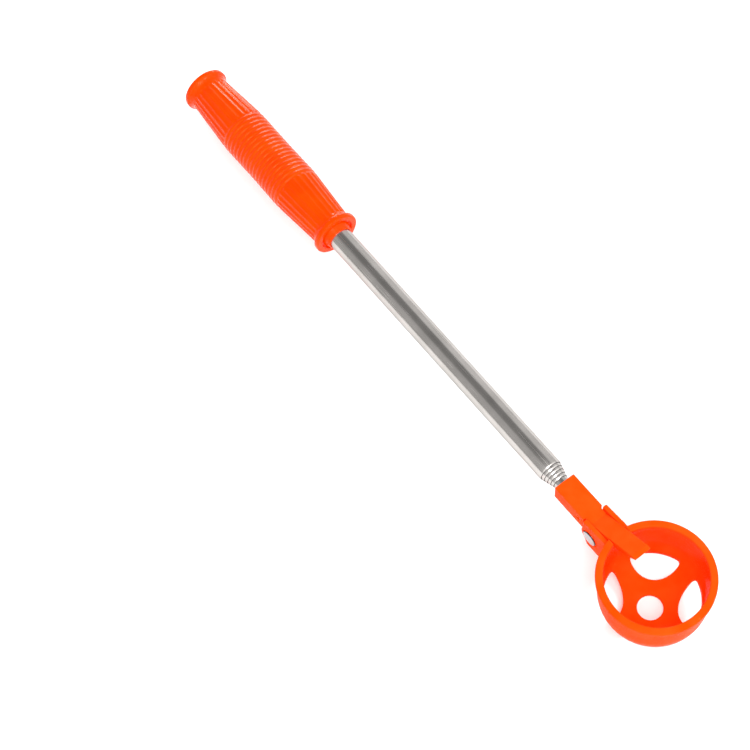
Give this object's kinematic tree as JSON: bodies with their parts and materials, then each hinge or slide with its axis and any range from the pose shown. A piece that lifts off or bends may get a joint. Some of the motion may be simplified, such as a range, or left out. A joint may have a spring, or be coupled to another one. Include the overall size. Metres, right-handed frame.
{
  "type": "golf ball retriever",
  "caption": "Telescopic golf ball retriever: moulded grip, nested stainless tubes, and a hinged sprung scoop with drain windows under a retaining tongue.",
  "frame": {"origin": "centre of the flat butt face of the grip, on the shaft's axis", "axes": "+X along the shaft from the grip to the scoop; +Z the side that the scoop opens to; Y along the hinge rivet"},
  "size_m": [0.4041, 0.0578, 0.0518],
  "materials": {
    "grip_plastic": "glossy injection-moulded plastic",
    "head_plastic": "semi-gloss injection-moulded plastic",
    "tube_steel": "drawn stainless tube, polished lengthwise",
    "bush_brass": "satin spring brass",
    "nylon": "natural nylon",
    "rivet_steel": "zinc-plated steel",
    "spring_steel": "drawn spring wire"
  },
  "bodies": {
    "handle": {"grip": "grip_plastic", "base_plug": "nylon", "tube_1": "tube_steel"},
    "section_2": {"tube_2": "tube_steel", "bush_2": "bush_brass"},
    "section_3": {"tube_3": "tube_steel", "bush_3": "bush_brass"},
    "section_4": {"tube_4": "tube_steel", "bush_4": "bush_brass"},
    "section_5": {"tube_5": "tube_steel", "bush_5": "bush_brass"},
    "tip_slider": {"bush_6": "bush_brass"},
    "head": {"tube_6": "tube_steel", "tip_plug": "rivet_steel", "bracket": "head_plastic", "tip_pin": "rivet_steel", "hinge_spring": "spring_steel"},
    "scoop_body": {"scoop": "head_plastic", "hinge_rivet": "rivet_steel", "rivet_washer": "rivet_steel"}
  },
  "joints": [
    {"name": "slide_2", "type": "slide", "parent": "handle", "child": "section_2", "axis": [1, 0, 0], "range_m": [0, 0.25]},
    {"name": "slide_3", "type": "slide", "parent": "section_2", "child": "section_3", "axis": [1, 0, 0], "range_m": [0, 0.25]},
    {"name": "slide_4", "type": "slide", "parent": "section_3", "child": "section_4", "axis": [1, 0, 0], "range_m": [0, 0.25]},
    {"name": "slide_5", "type": "slide", "parent": "section_4", "child": "section_5", "axis": [1, 0, 0], "range_m": [0, 0.25]},
    {"name": "slide_6", "type": "slide", "parent": "section_5", "child": "tip_slider", "axis": [1, 0, 0], "range_m": [0, 0.25]},
    {"name": "head_twist", "type": "hinge", "parent": "tip_slider", "child": "head", "pos_m": [0.298, 0, 0], "axis": [1, 0, 0], "continuous": true},
    {"name": "scoop_hinge", "type": "hinge", "parent": "head", "child": "scoop_body", "pos_m": [0.3365, 0, -0.003], "axis": [0, 1, 0], "range_deg": [0, 40], "stiffness_Nm_per_rad": 0.06, "springref_deg": -57.3, "deforming": ["hinge_spring"]}
  ]
}
